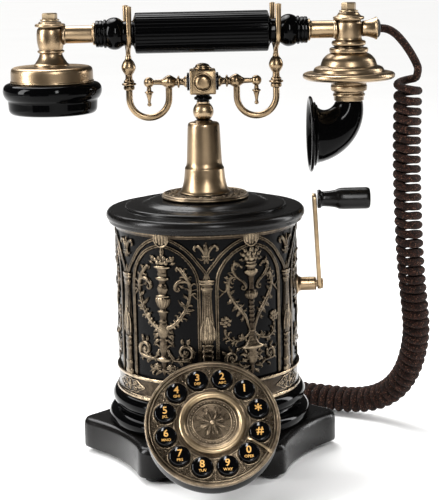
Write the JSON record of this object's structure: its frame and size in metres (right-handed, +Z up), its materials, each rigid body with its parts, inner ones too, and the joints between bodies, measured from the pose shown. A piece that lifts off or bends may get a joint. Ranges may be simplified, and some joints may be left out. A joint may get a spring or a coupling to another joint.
{
  "type": "rotary telephone",
  "caption": "Antique-style desk telephone: hexagonal plinth, brass arcade on a black cylinder, tilted round key dial, side crank, and a horn handset on a forked cradle with a curly cord.",
  "frame": {"origin": "middle of the footprint at table height, without the loose cord", "axes": "+Z up, -Y towards the dial, +X towards the mouthpiece and the crank"},
  "size_m": [0.2882, 0.2417, 0.3051],
  "materials": {
    "black_gloss": "gloss black lacquer and bakelite",
    "black_satin": "satin black lacquer",
    "antique_brass": "cast brass with dark patina in the recesses and rubbed highlights",
    "bright_brass": "polished brass",
    "rubber": "matt black rubber",
    "braid": "dark brown braided cotton with reddish flecks",
    "steel": "plated steel",
    "board": "green circuit board",
    "black_plastic": "moulded black plastic",
    "key_black": "gloss black keys with gilt numerals"
  },
  "bodies": {
    "base": {"plinth": "black_satin", "base_plate": "steel", "foot_front_left": "rubber", "foot_front_right": "rubber", "foot_rear_right": "rubber", "foot_rear_left": "rubber", "moulding": "black_gloss", "body_shell": "black_gloss", "fretwork": "antique_brass", "lid": "black_satin", "lid_flange": "antique_brass", "column": "antique_brass", "column_collar": "black_gloss", "circuit_board": "board", "ringer_gong": "bright_brass", "hook_switch": "black_plastic", "line_jack": "black_plastic", "dial_plate": "antique_brass", "dial_centre": "bright_brass", "finger_stop": "bright_brass", "keypad_mat": "rubber", "dial_housing": "black_gloss", "crank_bush": "antique_brass", "cord_coil": "braid", "cord_grommet": "rubber"},
    "key_1": {"key_1": "key_black"},
    "key_2": {"key_2": "key_black"},
    "key_3": {"key_3": "key_black"},
    "key_4": {"key_4": "key_black"},
    "key_5": {"key_5": "key_black"},
    "key_6": {"key_6": "key_black"},
    "key_7": {"key_7": "key_black"},
    "key_8": {"key_8": "key_black"},
    "key_9": {"key_9": "key_black"},
    "key_0": {"key_0": "key_black"},
    "key_hash": {"key_hash": "key_black"},
    "key_star": {"key_star": "key_black"},
    "crank": {"crank_shaft": "steel", "crank_arm": "antique_brass"},
    "crank_knob": {"crank_knob": "black_gloss"},
    "cradle": {"cradle_spindle": "steel", "cradle_block": "antique_brass", "block_cap": "antique_brass", "hook_left": "antique_brass", "hook_right": "antique_brass"},
    "handset": {"handle_grip": "black_gloss", "tube_left": "antique_brass", "tube_right": "antique_brass", "receiver_stem": "antique_brass", "receiver_nut": "bright_brass", "receiver_shell": "antique_brass", "receiver_capsule": "steel", "receiver_cap": "black_gloss", "transmitter_stem": "antique_brass", "transmitter_nut": "bright_brass", "transmitter_bell": "antique_brass", "microphone_capsule": "steel", "mouthpiece": "black_gloss", "cord_gland": "antique_brass", "cord_lead": "braid"}
  },
  "joints": [
    {"name": "key_1_press", "type": "slide", "parent": "base", "child": "key_1", "axis": [0, 0.7547, -0.6561], "range_m": [0, 0.0015], "stiffness_N_per_m": 300, "springref_m": -0.0003},
    {"name": "key_2_press", "type": "slide", "parent": "base", "child": "key_2", "axis": [0, 0.7547, -0.6561], "range_m": [0, 0.0015], "stiffness_N_per_m": 300, "springref_m": -0.0003},
    {"name": "key_3_press", "type": "slide", "parent": "base", "child": "key_3", "axis": [0, 0.7547, -0.6561], "range_m": [0, 0.0015], "stiffness_N_per_m": 300, "springref_m": -0.0003},
    {"name": "key_4_press", "type": "slide", "parent": "base", "child": "key_4", "axis": [0, 0.7547, -0.6561], "range_m": [0, 0.0015], "stiffness_N_per_m": 300, "springref_m": -0.0003},
    {"name": "key_5_press", "type": "slide", "parent": "base", "child": "key_5", "axis": [0, 0.7547, -0.6561], "range_m": [0, 0.0015], "stiffness_N_per_m": 300, "springref_m": -0.0003},
    {"name": "key_6_press", "type": "slide", "parent": "base", "child": "key_6", "axis": [0, 0.7547, -0.6561], "range_m": [0, 0.0015], "stiffness_N_per_m": 300, "springref_m": -0.0003},
    {"name": "key_7_press", "type": "slide", "parent": "base", "child": "key_7", "axis": [0, 0.7547, -0.6561], "range_m": [0, 0.0015], "stiffness_N_per_m": 300, "springref_m": -0.0003},
    {"name": "key_8_press", "type": "slide", "parent": "base", "child": "key_8", "axis": [0, 0.7547, -0.6561], "range_m": [0, 0.0015], "stiffness_N_per_m": 300, "springref_m": -0.0003},
    {"name": "key_9_press", "type": "slide", "parent": "base", "child": "key_9", "axis": [0, 0.7547, -0.6561], "range_m": [0, 0.0015], "stiffness_N_per_m": 300, "springref_m": -0.0003},
    {"name": "key_0_press", "type": "slide", "parent": "base", "child": "key_0", "axis": [0, 0.7547, -0.6561], "range_m": [0, 0.0015], "stiffness_N_per_m": 300, "springref_m": -0.0003},
    {"name": "key_hash_press", "type": "slide", "parent": "base", "child": "key_hash", "axis": [0, 0.7547, -0.6561], "range_m": [0, 0.0015], "stiffness_N_per_m": 300, "springref_m": -0.0003},
    {"name": "key_star_press", "type": "slide", "parent": "base", "child": "key_star", "axis": [0, 0.7547, -0.6561], "range_m": [0, 0.0015], "stiffness_N_per_m": 300, "springref_m": -0.0003},
    {"name": "crank_spin", "type": "hinge", "parent": "base", "child": "crank", "pos_m": [0.0788, 0.027, 0.1146], "axis": [1, 0, 0], "continuous": true},
    {"name": "knob_spin", "type": "hinge", "parent": "crank", "child": "crank_knob", "pos_m": [0.078, 0.027, 0.1729], "axis": [1, 0, 0], "continuous": true},
    {"name": "handset_lift", "type": "slide", "parent": "base", "child": "handset", "axis": [0, 0, 1], "range_m": [0, 0.06]},
    {"name": "cradle_rise", "type": "slide", "parent": "base", "child": "cradle", "axis": [0, 0, 1], "range_m": [0, 0.004]}
  ],
  "couplings": [
    {"joint": "cradle_rise", "follows": "handset_lift", "ratio": 0.066}
  ]
}
